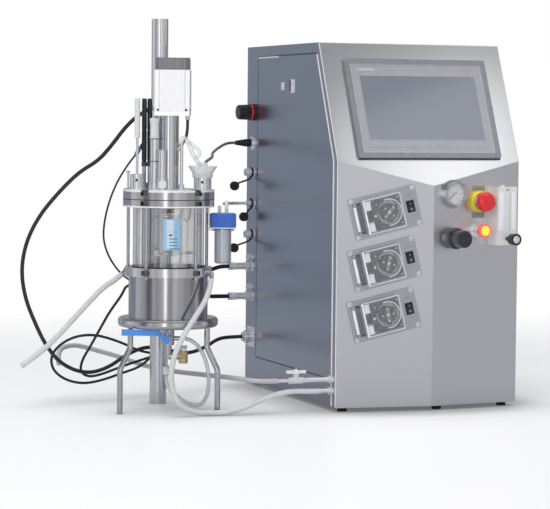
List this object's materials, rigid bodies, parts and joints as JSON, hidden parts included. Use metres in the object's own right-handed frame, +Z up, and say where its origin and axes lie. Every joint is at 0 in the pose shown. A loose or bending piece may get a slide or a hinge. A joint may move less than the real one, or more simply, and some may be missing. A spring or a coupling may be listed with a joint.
{
  "type": "bench bioreactor",
  "caption": "Bench bioreactor: control cabinet with touch screen, tube pumps, gas meter and safety stop, joined by hoses and cables to a stirred glass vessel on a stand",
  "frame": {"origin": "on the bench, at the centre of the front left foot of the cabinet", "axes": "+X to the right along the front, +Y towards the back, +Z up"},
  "size_m": [0.9853, 0.6205, 0.79],
  "materials": {
    "cabinet_steel": "brushed",
    "front_steel": "brushed",
    "foot_rubber": "matt",
    "stainless": "brushed",
    "polished_steel": "polished",
    "aluminium": "satin",
    "clear_glass": "clear",
    "clear_plastic": "clear",
    "display_glass": "gloss",
    "grey_plastic": "satin",
    "black_plastic": "matt",
    "black_rubber": "matt",
    "yellow_plastic": "gloss",
    "red_plastic": "gloss",
    "lit_plastic": "gloss",
    "blue_plastic": "gloss",
    "white_plastic": "gloss",
    "white_rubber": "satin",
    "grey_rubber": "satin",
    "clear_rubber": "clear",
    "electronics": "satin"
  },
  "bodies": {
    "base": {"cabinet_shell": "cabinet_steel", "cabinet_feet": "foot_rubber", "front_panel": "front_steel", "side_panel": "cabinet_steel", "rear_cover": "cabinet_steel", "control_unit": "electronics", "hmi_bezel": "grey_plastic", "hmi_screen": "display_glass", "pump_bases": "aluminium", "pump_motors": "electronics", "panel_bezels": "polished_steel", "estop_collar": "yellow_plastic", "rotameter_block": "clear_plastic", "side_fittings": "polished_steel", "socket_caps": "black_rubber", "vessel_stand": "stainless", "column": "stainless", "jacket": "stainless", "glass_cylinder": "clear_glass", "head_ring": "stainless", "head_plate": "stainless", "tie_rods": "stainless", "motor_tube": "stainless", "motor": "stainless", "head_fittings": "stainless", "sensors": "black_plastic", "port_cover": "clear_plastic", "ball_valve": "stainless", "bottle": "clear_glass", "bottle_cap": "blue_plastic", "motor_cable": "black_rubber", "sensor_cable": "black_rubber", "heater_cable": "black_rubber", "probe_cable": "grey_rubber", "jacket_hose": "white_rubber", "open_hose": "white_rubber", "grey_hose": "grey_rubber", "drain_tube": "clear_rubber", "bottle_hose": "clear_rubber", "motor_lead": "black_rubber"},
    "cover_1": {"pump_cover_1": "clear_plastic"},
    "rotor_1": {"pump_rotor_1": "aluminium"},
    "rocker_1": {"pump_rocker_1": "black_plastic"},
    "cover_2": {"pump_cover_2": "clear_plastic"},
    "rotor_2": {"pump_rotor_2": "aluminium"},
    "rocker_2": {"pump_rocker_2": "black_plastic"},
    "cover_3": {"pump_cover_3": "clear_plastic"},
    "rotor_3": {"pump_rotor_3": "aluminium"},
    "rocker_3": {"pump_rocker_3": "black_plastic"},
    "needle": {"gauge_needle": "black_plastic"},
    "estop": {"estop_button": "red_plastic"},
    "lamp": {"lamp_button": "lit_plastic"},
    "regulator": {"regulator_knob": "black_plastic"},
    "flow_valve": {"rotameter_knob": "black_plastic"},
    "float": {"rotameter_float": "polished_steel"},
    "switch": {"side_switch_knob": "black_plastic"},
    "latch": {"panel_latch": "polished_steel"},
    "stirrer": {"agitator": "stainless"},
    "drain_lever": {"ball_valve_lever": "blue_plastic"},
    "stopcock": {"stopcock_handle": "white_plastic"}
  },
  "joints": [
    {"name": "pump_cover_1_hinge", "type": "hinge", "parent": "base", "child": "cover_1", "pos_m": [0.01499, -0.03341, 0.38833], "axis": [0.232, -0.0261, -0.9724], "range_deg": [0, 110]},
    {"name": "pump_rotor_1_spin", "type": "hinge", "parent": "base", "child": "rotor_1", "pos_m": [0.08053, -0.03354, 0.40397], "axis": [-0.1118, -0.9937, 0], "continuous": true},
    {"name": "pump_rocker_1_tilt", "type": "hinge", "parent": "base", "child": "rocker_1", "pos_m": [0.12788, -0.03886, 0.41541], "axis": [0.9663, -0.1087, 0.2334], "range_deg": [-7, 7]},
    {"name": "pump_cover_2_hinge", "type": "hinge", "parent": "base", "child": "cover_2", "pos_m": [0.01499, -0.03341, 0.28513], "axis": [0.232, -0.0261, -0.9724], "range_deg": [0, 110]},
    {"name": "pump_rotor_2_spin", "type": "hinge", "parent": "base", "child": "rotor_2", "pos_m": [0.08053, -0.03354, 0.30077], "axis": [-0.1118, -0.9937, 0], "continuous": true},
    {"name": "pump_rocker_2_tilt", "type": "hinge", "parent": "base", "child": "rocker_2", "pos_m": [0.12788, -0.03886, 0.31221], "axis": [0.9663, -0.1087, 0.2334], "range_deg": [-7, 7]},
    {"name": "pump_cover_3_hinge", "type": "hinge", "parent": "base", "child": "cover_3", "pos_m": [0.01499, -0.03341, 0.18193], "axis": [0.232, -0.0261, -0.9724], "range_deg": [0, 110]},
    {"name": "pump_rotor_3_spin", "type": "hinge", "parent": "base", "child": "rotor_3", "pos_m": [0.08053, -0.03354, 0.19757], "axis": [-0.1118, -0.9937, 0], "continuous": true},
    {"name": "pump_rocker_3_tilt", "type": "hinge", "parent": "base", "child": "rocker_3", "pos_m": [0.12788, -0.03886, 0.20901], "axis": [0.9663, -0.1087, 0.2334], "range_deg": [-7, 7]},
    {"name": "gauge_needle_turn", "type": "hinge", "parent": "base", "child": "needle", "pos_m": [0.221, -0.03966, 0.4395], "axis": [-0.1118, 0.9937, 0], "range_deg": [0, 270]},
    {"name": "estop_press", "type": "slide", "parent": "base", "child": "estop", "axis": [-0.1118, 0.9937, 0], "range_m": [0, 0.005]},
    {"name": "lamp_button_press", "type": "slide", "parent": "base", "child": "lamp", "axis": [-0.1118, 0.9937, 0], "range_m": [0, 0.0025], "stiffness_N_per_m": 600, "springref_m": -0.001},
    {"name": "regulator_knob_turn", "type": "hinge", "parent": "base", "child": "regulator", "pos_m": [0.22, -0.03977, 0.35], "axis": [-0.1118, 0.9937, 0], "range_deg": [0, 1080]},
    {"name": "rotameter_knob_turn", "type": "hinge", "parent": "base", "child": "flow_valve", "pos_m": [0.328, -0.02763, 0.349], "axis": [0.1118, -0.9937, 0], "range_deg": [0, 1800]},
    {"name": "rotameter_float_rise", "type": "slide", "parent": "base", "child": "float", "axis": [0, 0, 1], "range_m": [0, 0.065]},
    {"name": "side_switch_turn", "type": "hinge", "parent": "base", "child": "switch", "pos_m": [-0.022, 0.475, 0.602], "axis": [-1, 0, 0], "range_deg": [0, 90]},
    {"name": "panel_latch_pull", "type": "hinge", "parent": "base", "child": "latch", "pos_m": [-0.0196, 0.2506, 0.6575], "axis": [0, 0, -1], "range_deg": [0, 60]},
    {"name": "agitator_spin", "type": "hinge", "parent": "base", "child": "stirrer", "pos_m": [-0.335, 0.109, 0.6], "axis": [0, 0, 1], "continuous": true},
    {"name": "drain_valve_turn", "type": "hinge", "parent": "base", "child": "drain_lever", "pos_m": [-0.335, 0.109, 0.15], "axis": [-0.3502, -0.9367, 0], "range_deg": [0, 90]},
    {"name": "stopcock_turn", "type": "hinge", "parent": "base", "child": "stopcock", "pos_m": [-0.102, -0.005, 0.066], "axis": [0, 0, 1], "range_deg": [0, 90]}
  ]
}
